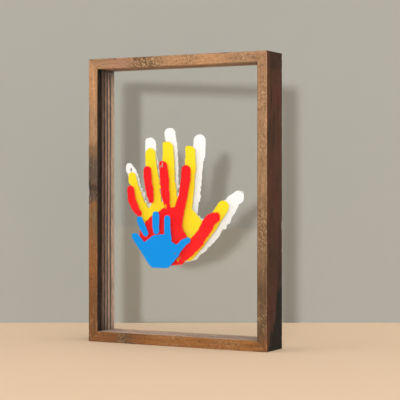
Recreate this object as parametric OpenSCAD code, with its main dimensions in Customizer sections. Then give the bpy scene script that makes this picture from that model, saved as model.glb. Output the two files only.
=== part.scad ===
// Deep standing frame with four clear panes, one painted handprint on each.
// Front view is towards +Y, the frame stands on z = 0 and is centred on x = 0 and y = 0.

/* [Frame] */
// Overall width
frame_w = 244; // [215:1:320]
// Overall height
frame_h = 350; // [320:1:450]
// Depth from front face to back face
frame_d = 43; // [42:0.5:60]
// Width of the face of every rail
rail_w = 13; // [12:0.5:22]
// Radius of the eased long edges
edge_r = 0.8; // [0.4:0.1:1.6]

/* [Panes] */
// Thickness of a clear pane
pane_t = 2.5; // [2:0.1:3]
// Gap between a pane's face and the side of its groove
face_gap = 0.5; // [0.4:0.05:0.7]
// Depth of the grooves in the side and bottom rails
groove_deep = 5; // [3:0.25:5.5]
// Gap between a pane's upright edge and the bottom of its groove
edge_gap = 0.5; // [0.3:0.1:1]
// Front face of the frame to the middle of the first pane
first_pane = 10; // [6:0.5:11]
// Back face of the frame to the middle of the last pane
last_pane = 9.9; // [9:0.1:12]
// How far the top edge of a pane lies under the top of the frame
pane_drop = 1; // [0:0.5:3]

/* [Handprints] */
// Thickness of the dried paint
paint_t = 0.2; // [0.1:0.02:0.25]
// Radius that fills the corners between the fingers
web_r = 1.2; // [0.4:0.2:2]
// Radius that rounds the corners of the palms
palm_r = 3; // [1:0.5:4]
// Length of the blue print, heel to middle fingertip
blue_l = 69; // [50:1:80]
// Length of the red print
red_l = 129; // [110:1:140]
// Length of the yellow print
yellow_l = 151; // [130:1:160]
// Length of the white print
white_l = 166; // [150:1:175]

/* [Corner joints] */
// Thickness of the hidden corner tongue
tongue_t = 2; // [1.5:0.5:2.5]
// Width of the tongue across the mitre
tongue_w = 8; // [5:0.5:8.5]
// Length of the tongue along the frame's depth
tongue_l = 28; // [20:1:30]
// Outer corner to the middle of the tongue, along the mitre
tongue_in = 6.5; // [6.5:0.5:7]
// Front face to the near end of the tongue
tongue_back = 4; // [3:0.5:6]
// Gap for glue round the tongue
glue_gap = 0.1; // [0.05:0.05:0.2]
// Length of one leg of the V-shaped nail
nail_leg = 5; // [3:0.5:6]
// Thickness of the V-shaped nail's strip
nail_t = 0.6; // [0.4:0.1:1]
// How deep the V-shaped nail is, along the frame's depth
nail_deep = 6; // [4:0.5:7]
// How far the V-shaped nail is driven under the back face
nail_sunk = 0.3; // [0:0.1:0.5]
// Outer corner to the point of the V, along the mitre
nail_in = 7; // [5:0.5:9]

/* [Hanger] */
// Length of the hanger plate
hanger_l = 45; // [35:1:60]
// Height of the hanger plate
hanger_h = 8; // [6:0.5:10]
// Thickness of the hanger plate
hanger_t = 0.8; // [0.6:0.1:1.2]
// Length of each flat end of the plate
hanger_foot = 7; // [6:0.5:9]
// How far the toothed middle stands off the wood
hanger_rise = 1.4; // [1:0.1:2.5]
// Depth of the teeth
tooth_deep = 1.6; // [1:0.1:2.5]
// Spacing of the teeth
tooth_pitch = 3; // [2:0.25:4]
// Radius of a hanger nail's shank
pin_r = 0.7; // [0.5:0.05:0.9]
// Radius of a hanger nail's head
pin_head_r = 1.8; // [1.4:0.1:2.5]
// Thickness of a hanger nail's head
pin_head_t = 0.6; // [0.4:0.1:1]
// Length of the shank in the wood
pin_deep = 6.5; // [4:0.5:7]

/* [Hidden] */

front_y = -frame_d / 2;
back_y = frame_d / 2;
seat_z = rail_w - groove_deep;
groove_w = frame_w - 2 * seat_z;
pane_w = groove_w - 2 * edge_gap;
pane_top = frame_h - pane_drop;
slot_w = pane_t + 2 * face_gap;
pane_pitch = (frame_d - first_pane - last_pane) / 3;
// Extra reach of a cutter past the face that it cuts
past = 1;
wood = "#7a5233";
steel = "#b8bcc0";

function pane_y(i) = front_y + first_pane + i * pane_pitch;

// Prints lie on the heel point [x, z] of each hand. A finger is a list of blobs [x, z, radius],
// measured from the heel on a hand of the length given beside it, tip first.
blue_heel = [-25, 93];
blue_drawn_l = 69;
blue_joined = [
    [[-37.4, 39.4, 2.4], [-34.4, 37, 4.9], [-25, 26, 5.6], [-16, 20, 8]],
    [[10, 60, 4.3], [10, 48, 4.4], [11, 36, 5]],
    [[38.2, 34.4, 3.6], [31.4, 30.8, 4.5], [21, 20, 5.6]]
];
blue_loose = [
    [[-28.8, 58.4, 4.2], [-24.3, 49, 4.7], [-20.2, 41.8, 3.8]],
    [[-5.9, 64.2, 4.8], [-6.1, 54, 5], [-5.6, 45.4, 4.4]]
];
blue_palm = [
    [-29.6, 24], [-26, 28], [-18, 34], [-9, 40.2], [7, 41.2], [15, 33], [24, 27.5], [28.2, 22.4],
    [26.4, 16], [19.4, 8.6], [13.6, 2.6], [10, 0], [-11, 0], [-15.8, 4], [-23, 14]
];

red_heel = [-21, 94];
red_drawn_l = 129;
red_joined = [
    [[-7.2, 127, 2], [-3.6, 123.4, 5.6], [-1.8, 105, 6.3], [-0.6, 87, 5.8], [2, 75, 3.8], [3, 70, 3.8]],
    [[28, 118, 6.4], [27.4, 107, 6.5], [23.6, 86, 6.1], [18.6, 71, 7], [14, 50, 8]],
    [[68, 61.4, 6.4], [60.6, 57.8, 7.6], [56.8, 49.8, 7.9], [46, 35.4, 7.8], [33, 22.6, 8.4], [20, 11, 7]]
];
red_loose = [
    [[-49.6, 94, 5.2], [-48.1, 82, 5.3], [-42.7, 71, 4.9], [-37, 64, 3.3]],
    [[-25.9, 117.6, 5.6], [-24.9, 105, 5.7], [-22.9, 94, 5.2], [-21, 82, 4.3]]
];
red_palm = [
    [-37, 45], [-23, 60], [-9, 68], [-4, 72], [5, 72], [14, 74], [22, 60], [21, 53],
    [25, 44], [30, 36], [36, 17], [22, 3.4], [0, 1], [-16, 3], [-30, 19], [-36, 34]
];

yellow_heel = [-20, 96];
yellow_drawn_l = 151;
yellow_joined = [
    [[-55, 110.2, 3], [-52.6, 108, 5.7], [-49.7, 97, 5.9], [-44, 82, 5.8], [-36, 65, 7]],
    [[-26.6, 136.4, 7.1], [-25.9, 123, 7.6], [-19.6, 100, 6.1], [-17, 73, 7]],
    [[-6.6, 148.2, 2.8], [-1.9, 143.4, 7.6], [-1.4, 131, 8.1], [-0.2, 111, 7.2], [4.6, 76, 7.2]],
    [[25.5, 142.2, 3.4], [29.1, 138.4, 6.8], [28.9, 119, 7.3], [27.6, 94, 7], [24, 71, 7.4]],
    [[73.6, 71.8, 7.8], [63.8, 57.6, 7.9], [52.2, 43, 8.8], [38.6, 28.6, 9.6], [26, 16, 10.3]]
];
yellow_palm = [
    [-40, 50], [-34, 66], [-19, 77], [-7, 78], [9, 84], [28, 80], [31, 69], [41, 59],
    [47, 54], [38, 16], [30, 9], [20, 4], [0, 0], [-22, 4], [-34, 18], [-40, 36]
];

white_heel = [-18, 98];
white_drawn_l = 166;
white_joined = [
    [[-62.6, 116.8, 5.6], [-56.7, 107, 6.1], [-45.8, 77, 5.6], [-39, 64, 6]],
    [[-36.2, 151, 2.8], [-32.2, 147, 7], [-31.8, 132, 7.5], [-25, 98, 6.4], [-19, 74, 7]],
    [[-5, 158.9, 7.1], [-2.3, 144, 7], [-1.4, 121, 7.6], [-1.4, 92, 7.2]],
    [[36, 149.2, 7.8], [35.3, 138, 8.2], [34.2, 121, 6.8], [30, 84, 6.3], [26, 65, 7.4]],
    [[89, 82.4, 6.8], [83.4, 79, 8], [76.2, 68.2, 8.9], [63, 51, 9.9], [49.4, 35.2, 10.1], [33, 20, 9.8]]
];
white_palm = [
    [-46, 52], [-39, 70], [-18, 78], [4, 87], [26, 78], [30, 63], [40, 54], [52, 27],
    [37, 13.4], [32, 6], [24, 3], [0, 0], [-24, 4], [-38, 17], [-45, 35]
];

// Section across a rail, with its outer face on the base line
module rail_section() {
    translate([front_y + edge_r, 0]) square([frame_d - 2 * edge_r, rail_w]);
    translate([front_y, edge_r]) square([frame_d, rail_w - 2 * edge_r]);
    for (y = [front_y + edge_r, back_y - edge_r], z = [edge_r, rail_w - edge_r])
        translate([y, z]) circle(edge_r, $fn = 24);
}

// Mitred bar along X with its outer face on z = 0
module mitred_bar(length) {
    intersection() {
        rotate([90, 0, 90])
            linear_extrude(length, center = true) rail_section();
        rotate([90, 0, 0])
            linear_extrude(frame_d + 2 * past, center = true)
                polygon([
                    [-length / 2, 0], [length / 2, 0],
                    [length / 2 - rail_w, rail_w], [rail_w - length / 2, rail_w]
                ]);
    }
}

// Space that a pane slides in, open at the top of the frame
module pane_channels() {
    for (i = [0 : 3])
        translate([-groove_w / 2, pane_y(i) - slot_w / 2, seat_z])
            cube([groove_w, slot_w, frame_h - seat_z + past]);
}

// Puts its children in one corner: side is -1 left or 1 right, and up is 0 bottom or 1 top.
// There they lie in the XZ plane with the outer corner at the origin and the mitre along +X.
module at_corner(side, up) {
    translate([side * frame_w / 2, 0, up * frame_h])
        rotate([0, up == 0 ? (side < 0 ? -45 : -135) : (side < 0 ? 45 : 135), 0])
            children();
}

module tongue_shape(gap = 0) {
    translate([tongue_in - tongue_t / 2 - gap, front_y + tongue_back - gap, -tongue_w / 2 - gap])
        cube([tongue_t + 2 * gap, tongue_l + 2 * gap, tongue_w + 2 * gap]);
}

// The V opens towards the inside of the frame, with one leg in each rail
module v_nail_shape() {
    reach = nail_leg / sqrt(2);
    web = nail_t * sqrt(2);
    translate([nail_in, back_y - nail_sunk, 0])
        rotate([90, 0, 0])
            linear_extrude(nail_deep)
                polygon([
                    [0, 0], [reach, reach], [reach + web / 2, reach - web / 2],
                    [web, 0], [reach + web / 2, web / 2 - reach], [reach, -reach]
                ]);
}

// Narrow kerf that a V-shaped nail leaves, open at the back face
module v_nail_kerf() {
    v_nail_shape();
    translate([0, nail_sunk, 0]) v_nail_shape();
}

// Things cut from every rail
module rail_cuts() {
    pane_channels();
    for (side = [-1, 1], up = [0, 1])
        at_corner(side, up) {
            tongue_shape(glue_gap);
            v_nail_kerf();
        }
}

module bottom_rail() {
    color(wood) difference() {
        mitred_bar(frame_w);
        rail_cuts();
    }
}

module top_rail() {
    color(wood) difference() {
        translate([0, 0, frame_h]) rotate([0, 180, 0]) mitred_bar(frame_w);
        rail_cuts();
        at_hanger_nails() cylinder(h = pin_deep, r = pin_r, $fn = 32);
    }
}

module left_rail() {
    color(wood) difference() {
        translate([-frame_w / 2, 0, frame_h / 2]) rotate([0, 90, 0]) mitred_bar(frame_h);
        rail_cuts();
    }
}

module right_rail() {
    color(wood) difference() {
        translate([frame_w / 2, 0, frame_h / 2]) rotate([0, -90, 0]) mitred_bar(frame_h);
        rail_cuts();
    }
}

module pane(i) {
    color([0.85, 0.92, 0.95, 0.3])
        translate([-pane_w / 2, pane_y(i) - pane_t / 2, seat_z])
            cube([pane_w, pane_t, pane_top - seat_z]);
}

// One finger: blobs of paint joined by straight flanks
module finger(blobs) {
    for (i = [0 : len(blobs) - 2])
        hull()
            for (b = [blobs[i], blobs[i + 1]])
                translate([b[0], b[1]]) circle(b[2], $fn = 24);
}

// Paint on the front of a pane, as long as length
module handprint(i, heel, length, drawn_l, joined, loose, palm) {
    translate([heel[0], pane_y(i) - pane_t / 2, heel[1]])
        rotate([90, 0, 0])
            linear_extrude(paint_t)
                scale(length / drawn_l) {
                    offset(r = -web_r, $fn = 24) offset(r = web_r, $fn = 24) {
                        offset(r = palm_r, $fn = 24) offset(delta = -palm_r) polygon(palm);
                        for (f = joined) finger(f);
                    }
                    for (f = loose) finger(f);
                }
}

module blue_handprint() {
    color("#1896e8")
        handprint(0, blue_heel, blue_l, blue_drawn_l, blue_joined, blue_loose, blue_palm);
}

module red_handprint() {
    color("#fd1a24")
        handprint(1, red_heel, red_l, red_drawn_l, red_joined, red_loose, red_palm);
}

module yellow_handprint() {
    color("#ffe500")
        handprint(2, yellow_heel, yellow_l, yellow_drawn_l, yellow_joined, [], yellow_palm);
}

module white_handprint() {
    color("#fffffc")
        handprint(3, white_heel, white_l, white_drawn_l, white_joined, [], white_palm);
}

module corner_tongue(side, up) {
    color("#c8a271") at_corner(side, up) tongue_shape();
}

module v_nail(side, up) {
    color(steel) at_corner(side, up) v_nail_shape();
}

// The two nails of the hanger, each along +Z into the wood from the back face
module at_hanger_nails() {
    for (side = [-1, 1])
        translate([side * (hanger_l - hanger_foot) / 2, back_y, frame_h - rail_w / 2])
            rotate([90, 0, 0]) children();
}

// Plate seen from above: flat ends on the wood and a raised middle
module hanger_bend() {
    ramp = hanger_rise + hanger_t;
    flat = hanger_l / 2 - hanger_foot;
    for (side = [-1, 1])
        translate([side > 0 ? flat : -hanger_l / 2, 0]) square([hanger_foot, hanger_t]);
    polygon([
        [-flat, 0], [ramp - flat, hanger_rise], [flat - ramp, hanger_rise], [flat, 0],
        [flat, hanger_t], [flat - ramp, ramp], [ramp - flat, ramp], [-flat, hanger_t]
    ]);
}

module sawtooth_hanger() {
    toothed = hanger_l - 2 * (hanger_foot + hanger_rise + hanger_t);
    teeth = floor(toothed / tooth_pitch);
    low_z = frame_h - rail_w / 2 - hanger_h / 2;
    color(steel) difference() {
        translate([0, back_y, low_z]) linear_extrude(hanger_h) hanger_bend();
        for (k = [0 : teeth - 1])
            translate([(k - (teeth - 1) / 2) * tooth_pitch, back_y + hanger_rise + hanger_t + past, low_z])
                rotate([90, 0, 0])
                    linear_extrude(hanger_t + 2 * past)
                        polygon([[-tooth_pitch / 2, -past], [-tooth_pitch / 2, 0], [0, tooth_deep],
                                 [tooth_pitch / 2, 0], [tooth_pitch / 2, -past]]);
        at_hanger_nails()
            translate([0, 0, -hanger_t - past])
                cylinder(h = hanger_t + 2 * past, r = pin_r, $fn = 32);
    }
}

module hanger_nails() {
    color(steel) at_hanger_nails() {
        translate([0, 0, -hanger_t]) cylinder(h = pin_deep + hanger_t, r = pin_r, $fn = 32);
        translate([0, 0, -hanger_t - pin_head_t]) cylinder(h = pin_head_t, r = pin_head_r, $fn = 32);
    }
}

bottom_rail();
top_rail();
left_rail();
right_rail();
pane(0);  // front_pane
pane(1);  // second_pane
pane(2);  // third_pane
pane(3);  // rear_pane
blue_handprint();
red_handprint();
yellow_handprint();
white_handprint();
corner_tongue(-1, 0);  // corner_tongue_bottom_left
corner_tongue(1, 0);  // corner_tongue_bottom_right
corner_tongue(-1, 1);  // corner_tongue_top_left
corner_tongue(1, 1);  // corner_tongue_top_right
v_nail(-1, 0);  // v_nail_bottom_left
v_nail(1, 0);  // v_nail_bottom_right
v_nail(-1, 1);  // v_nail_top_left
v_nail(1, 1);  // v_nail_top_right
sawtooth_hanger();
hanger_nails();
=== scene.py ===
"""Deep wooden frame on a table: four clear panes in grooves, with a painted handprint on each."""

import math

import bmesh
import bpy
import numpy as np
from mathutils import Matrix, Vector


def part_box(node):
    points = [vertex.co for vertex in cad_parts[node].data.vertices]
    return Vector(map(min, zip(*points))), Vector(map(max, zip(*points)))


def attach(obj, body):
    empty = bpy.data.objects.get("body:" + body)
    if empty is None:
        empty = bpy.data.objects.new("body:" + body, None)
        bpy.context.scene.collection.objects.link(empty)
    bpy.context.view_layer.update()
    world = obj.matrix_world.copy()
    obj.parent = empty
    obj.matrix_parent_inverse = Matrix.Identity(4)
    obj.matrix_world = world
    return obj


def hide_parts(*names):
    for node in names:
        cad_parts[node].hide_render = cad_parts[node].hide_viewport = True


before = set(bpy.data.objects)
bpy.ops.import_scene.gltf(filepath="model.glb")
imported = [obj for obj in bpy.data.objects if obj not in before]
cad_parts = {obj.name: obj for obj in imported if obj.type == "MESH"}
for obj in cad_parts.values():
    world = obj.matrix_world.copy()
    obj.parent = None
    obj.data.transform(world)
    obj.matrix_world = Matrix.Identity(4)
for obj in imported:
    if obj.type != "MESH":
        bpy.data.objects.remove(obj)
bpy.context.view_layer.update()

MM = 0.001

# Sizes of the frame, read from its own pieces
LEFT_LOW, LEFT_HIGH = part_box("left_rail")
FRAME_W = -2 * LEFT_LOW.x
FRAME_H = LEFT_HIGH.z
FRAME_D = LEFT_HIGH.y - LEFT_LOW.y
RAIL_W = LEFT_HIGH.x - LEFT_LOW.x
PANES = ["front_pane", "second_pane", "third_pane", "rear_pane"]
PANE_BODIES = ["pane_1", "pane_2", "pane_3", "pane_4"]
PRINTS = ["blue_handprint", "red_handprint", "yellow_handprint", "white_handprint"]
SEAT_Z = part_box("front_pane")[0].z
PANE_W = 2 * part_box("front_pane")[1].x
FACE_GAP = 0.5 * MM
EDGE_GAP = 0.5 * MM

# Camera, fitted to the corners of the frame
CAMERA_PLACE = Vector((0.7814, -1.4419, 0.1940))
CAMERA_TURN = math.radians(27.74)
CAMERA_LENS = 121.6
CAMERA_SHIFT = -0.0377
WALL_AWAY = 1.9016

# Bends light less than real acrylic, whose four sheets would veil the prints with reflections
ACRYLIC_BENDING = 1.24

# Stains of the wood as they look in plain light, from 0 to 255; some colours of the inner and outer faces
# also carry painted shade and painted light
STAINS = {
    "honey": (176, 134, 96),
    "tan": (160, 124, 92),
    "rosy": (166, 125, 102),
    "chestnut": (122, 78, 42),
    "russet": (140, 90, 48),
    "fawn": (130, 88, 54),
    "moss": (114, 92, 62),
    "drab": (147, 116, 84),
    "amber": (144, 94, 48),
    "weathered": (89, 75, 63),
    "dusk": (60, 50, 44),
    "olive": (124, 97, 69),
    "dull": (91, 69, 48),
    "walnut": (111, 73, 41),
    "umber": (76, 47, 32),
    "charred": (12, 10, 11),
    "wine": (84, 40, 36),
    "soot": (46, 33, 26),
    "pitch": (26, 19, 15),
    "bark": (122, 96, 82),
    "driftwood": (154, 126, 106),
    "taupe": (178, 150, 129),
    "putty": (196, 170, 148),
    "ledge": (205, 174, 151),
    "shade": (182, 151, 123),
}


def linear(rgb):
    """Colour from 0 to 255 as light."""
    shares = [c / 255 for c in rgb]
    return tuple(s / 12.92 if s <= 0.04045 else ((s + 0.055) / 1.055) ** 2.4 for s in shares)


def opaque(rgb):
    return (*linear(rgb), 1.0)


# Smooth seeded noise from -1 to 1 at each point, in lumps as long as cell along each axis
def lumps(points, cell, seed):
    scaled = points / (np.array(cell) * MM)
    low = np.floor(scaled).astype(np.int64)
    share = scaled - low
    share = share * share * (3 - 2 * share)
    total = np.zeros(points.shape[:-1])
    for corner in np.ndindex(2, 2, 2):
        at = low + np.array(corner)
        mixed = (at[..., 0] * 73856093) ^ (at[..., 1] * 19349663) ^ (at[..., 2] * 83492791)
        mixed = (mixed ^ (seed * 2654435761)) & 0xFFFFFFFF
        mixed = ((mixed ^ (mixed >> 15)) * 1274126177) & 0xFFFFFFFF
        value = ((mixed ^ (mixed >> 13)) & 0xFFFF) / 32767.5 - 1
        weight = np.ones(points.shape[:-1])
        for axis in range(3):
            weight *= share[..., axis] if corner[axis] else 1 - share[..., axis]
        total += weight * value
    return total


def grid_lines(low, high, step, fine=()):
    """Places of grid lines from low to high, closer together over each (start, end, step) in fine."""
    found = [np.arange(low, high + step, step)]
    for start, end, close in fine:
        keep = (found[0] < start - close / 2) | (found[0] > end + close / 2)
        found[0] = found[0][keep]
        found.append(np.arange(start, end + close / 4, close))
    return np.sort(np.concatenate(found))


def skin_of(field, lines):
    """Points and four-sided faces of the closed surface where the field passes through zero."""
    shape = field.shape
    cells = tuple(n - 1 for n in shape)
    count = np.zeros(int(np.prod(cells)))
    total = np.zeros((3, count.size))
    quads = []
    for axis in range(3):
        second = (axis + 1) % 3
        third = (axis + 2) % 3
        near = np.take(field, np.arange(shape[axis] - 1), axis)
        far = np.take(field, np.arange(1, shape[axis]), axis)
        crossed = (near < 0) != (far < 0)
        start = np.argwhere(crossed)
        share = near[crossed] / (near[crossed] - far[crossed])
        point = np.stack([lines[k][start[:, k]] for k in range(3)])
        point[axis] += share * (lines[axis][start[:, axis] + 1] - point[axis])
        ring = []
        for back_second, back_third in ((1, 1), (0, 1), (0, 0), (1, 0)):
            cell = start.copy()
            cell[:, second] -= back_second
            cell[:, third] -= back_third
            flat = np.ravel_multi_index(cell.T, cells)
            count += np.bincount(flat, minlength=count.size)
            for k in range(3):
                total[k] += np.bincount(flat, point[k], minlength=count.size)
            ring.append(flat)
        ring = np.stack(ring, axis=1)
        outward = near[crossed] < 0
        quads.append(np.where(outward[:, None], ring, ring[:, ::-1]))
    used = count > 0
    number = np.cumsum(used) - 1
    points = (total[:, used] / count[used]).T
    return points, number[np.concatenate(quads)]


def to_mesh(shape, name):
    mesh = bpy.data.meshes.new(name)
    shape.to_mesh(mesh)
    shape.free()
    return mesh


def add_object(name, data):
    """Object at the origin that shows a mesh, or a lamp or a camera."""
    made = bpy.data.objects.new(name, data)
    bpy.context.scene.collection.objects.link(made)
    return made


def mesh_piece(name, points, quads):
    """Smooth-shaded object at the origin from arrays of points and four-sided faces."""
    mesh = bpy.data.meshes.new(name)
    mesh.vertices.add(len(points))
    mesh.vertices.foreach_set("co", points.astype(np.float32).ravel())
    mesh.loops.add(quads.size)
    mesh.loops.foreach_set("vertex_index", quads.astype(np.int32).ravel())
    mesh.polygons.add(len(quads))
    mesh.polygons.foreach_set("loop_start", np.arange(0, quads.size, 4, dtype=np.int32))
    mesh.update(calc_edges=True)
    mesh.validate()
    mesh.shade_smooth()
    return add_object(name, mesh)


def give_value(piece, name, values):
    layer = piece.data.attributes.new(name, "FLOAT", "POINT")
    layer.data.foreach_set("value", np.asarray(values, np.float32))


def give_vector(piece, name, values):
    layer = piece.data.attributes.new(name, "FLOAT_VECTOR", "POINT")
    layer.data.foreach_set("vector", np.asarray(values, np.float32).ravel())


def give_colour(piece, name, values):
    layer = piece.data.attributes.new(name, "FLOAT_COLOR", "POINT")
    filled = np.ones((len(values), 4), np.float32)
    filled[:, :3] = values
    layer.data.foreach_set("color", filled.ravel())


def dress(piece, body, node, material):
    """Gives a finished piece its material and body, and hides the node that it stands for."""
    piece.data.materials.clear()
    piece.data.materials.append(material)
    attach(piece, body)
    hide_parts(node)


# Shader wiring

class Wiring:
    """Adds nodes to one tree. A value may be a plain number, a tuple or another node's output."""

    def __init__(self, tree):
        self.tree = tree

    def put(self, kind, **settings):
        node = self.tree.nodes.new(kind)
        for name, value in settings.items():
            setattr(node, name, value)
        return node

    def feed(self, socket, value):
        if isinstance(value, bpy.types.NodeSocket):
            self.tree.links.new(value, socket)
        else:
            socket.default_value = value

    def fill(self, node, **values):
        """Feeds a node. Keyword names are the names of its inputs with spaces as underscores."""
        for name, value in values.items():
            self.feed(node.inputs[name.replace("_", " ")], value)
        return node

    def pair(self, node, first, second):
        """Feeds the first two inputs of a node."""
        self.feed(node.inputs[0], first)
        self.feed(node.inputs[1], second)
        return node.outputs[0]

    def maths(self, operation, first, second, clamp=False):
        return self.pair(self.put("ShaderNodeMath", operation=operation, use_clamp=clamp), first, second)

    def times(self, first, second):
        return self.maths("MULTIPLY", first, second)

    def plus(self, first, second):
        return self.maths("ADD", first, second)

    def minus(self, first, second):
        return self.maths("SUBTRACT", first, second)

    def stretch(self, vector, factors):
        return self.pair(self.put("ShaderNodeVectorMath", operation="MULTIPLY"), vector, factors)

    def slanted(self, vector, turn, factors):
        """Place turned about the second direction, then stretched."""
        node = self.put("ShaderNodeVectorRotate", rotation_type="Y_AXIS")
        self.fill(node, Vector=vector, Angle=turn)
        return self.stretch(node.outputs["Vector"], factors)

    def noise(self, vector, scale=1.0, detail=3.0, roughness=0.55, distortion=0.0):
        node = self.put("ShaderNodeTexNoise")
        self.fill(node, Vector=vector, Scale=scale, Detail=detail, Roughness=roughness)
        self.feed(node.inputs["Distortion"], distortion)
        return node.outputs["Fac"]

    def patches(self, vector, factors, scale=1.0, **settings):
        """Noise in patches that the factors make longer in some directions."""
        return self.noise(self.stretch(vector, factors), scale, **settings)

    def spots(self, vector, scale=1.0):
        """Distance to the nearest of many scattered points."""
        return self.fill(self.put("ShaderNodeTexVoronoi"), Vector=vector, Scale=scale).outputs["Distance"]

    def between(self, value, low, high, to_low=0.0, to_high=1.0):
        """Value moved smoothly from the range low to high onto another, and held there."""
        node = self.put("ShaderNodeMapRange", interpolation_type="SMOOTHSTEP")
        self.fill(node, Value=value, From_Min=low, From_Max=high, To_Min=to_low, To_Max=to_high)
        return node.outputs["Result"]

    def blend(self, share, first, second, how="MIX"):
        """Colour that goes from first to second."""
        node = self.put("ShaderNodeMix", data_type="RGBA", blend_type=how)
        self.feed(node.inputs[0], share)
        self.feed(node.inputs[6], first)
        self.feed(node.inputs[7], second)
        return node.outputs[2]

    def coat(self, colour, mask, strength, rgb):
        """Colour covered with another one, as far as the mask times the strength."""
        return self.blend(self.times(mask, strength), colour, opaque(rgb))

    def either(self, share, first, second):
        """Surface that goes from the first shader to the second."""
        node = self.put("ShaderNodeMixShader")
        self.feed(node.inputs[0], share)
        self.feed(node.inputs[1], first)
        self.feed(node.inputs[2], second)
        return node.outputs[0]

    def layer(self, name, output):
        return self.put("ShaderNodeAttribute", attribute_name=name).outputs[output]

    def place(self):
        return self.put("ShaderNodeTexCoord").outputs["Object"]

    def bump(self, height, strength, distance):
        node = self.fill(self.put("ShaderNodeBump"), Height=height, Strength=strength, Distance=distance)
        return node.outputs["Normal"]

    def use(self, group, **values):
        """Outputs of a shader group with its inputs fed."""
        return self.fill(self.put("ShaderNodeGroup", node_tree=group), **values).outputs


SOCKETS = {"value": "NodeSocketFloat", "vector": "NodeSocketVector"}


def start_group(name, inputs, outputs):
    """New shader group with named sockets. Returns its wiring, its inputs and its output node."""
    tree = bpy.data.node_groups.new(name, "ShaderNodeTree")
    for in_out, sockets in (("INPUT", inputs), ("OUTPUT", outputs)):
        for label, kind in sockets.items():
            tree.interface.new_socket(label, in_out=in_out, socket_type=SOCKETS[kind])
    wiring = Wiring(tree)
    entry = wiring.put("NodeGroupInput")
    exit_node = wiring.put("NodeGroupOutput")
    return wiring, entry.outputs, exit_node


def sawn_grain_group():
    """Long streaks, fine fibres and open pores that run along X."""
    wires, given, out = start_group(
        "Sawn grain",
        {"Place": "vector", "Waviness": "value"},
        {"Streaks": "value", "Fibres": "value", "Pores": "value", "Height": "value"},
    )
    sway = wires.patches(given["Place"], (14, 30, 30), detail=2)
    sway = wires.times(wires.minus(sway, 0.5), given["Waviness"])
    lift = wires.fill(wires.put("ShaderNodeCombineXYZ"), Y=sway, Z=sway).outputs[0]
    place = wires.pair(wires.put("ShaderNodeVectorMath", operation="ADD"), given["Place"], lift)
    streaks = wires.patches(place, (16, 420, 420), detail=4, roughness=0.6)
    fibres = wires.patches(place, (90, 2600, 2600), detail=3, roughness=0.65)
    pore = wires.spots(wires.stretch(place, (110, 1300, 1300)))
    pores = wires.between(pore, 0.10, 0.26, 1.0, 0.0)
    height = wires.plus(wires.times(streaks, 0.6), wires.times(fibres, 0.5))
    height = wires.minus(height, wires.times(pores, 0.35))
    wires.fill(out, Streaks=streaks, Fibres=fibres, Pores=pores, Height=height)
    return wires.tree


def rubbed_edge_group():
    """Broken mask along the arrises, where handling has worn the finish."""
    wires, given, out = start_group(
        "Rubbed edge",
        {"Place": "vector", "Nearness": "value", "Amount": "value"},
        {"Mask": "value"},
    )
    broken = wires.patches(given["Place"], (70, 300, 300), detail=4, roughness=0.65)
    reach = wires.plus(given["Nearness"], wires.times(broken, 1.3))
    edge = wires.minus(1.75, given["Amount"])
    wires.fill(out, Mask=wires.between(reach, edge, wires.plus(edge, 0.35)))
    return wires.tree


def fleck_group():
    """Scattered small marks of uneven size."""
    wires, given, out = start_group(
        "Flecks",
        {"Place": "vector", "Per Metre": "value", "Size": "value"},
        {"Mask": "value"},
    )
    apart = wires.spots(given["Place"], given["Per Metre"])
    uneven = wires.noise(given["Place"], wires.times(given["Per Metre"], 0.45), detail=2)
    size = wires.times(given["Size"], wires.between(uneven, 0.42, 0.72))
    mask = wires.between(apart, wires.times(size, 0.6), size, 1.0, 0.0)
    seen = wires.maths("GREATER_THAN", size, 0.02)
    wires.fill(out, Mask=wires.times(mask, seen))
    return wires.tree


GRAIN = sawn_grain_group()
RUBBED = rubbed_edge_group()
FLECKS = fleck_group()


def new_material(name):
    material = bpy.data.materials.new(name)
    material.use_nodes = True
    wires = Wiring(material.node_tree)
    shader = material.node_tree.nodes["Principled BSDF"]
    return material, wires, shader


def set_surface(material, wires, surface):
    wires.fill(material.node_tree.nodes["Material Output"], Surface=surface)


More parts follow.
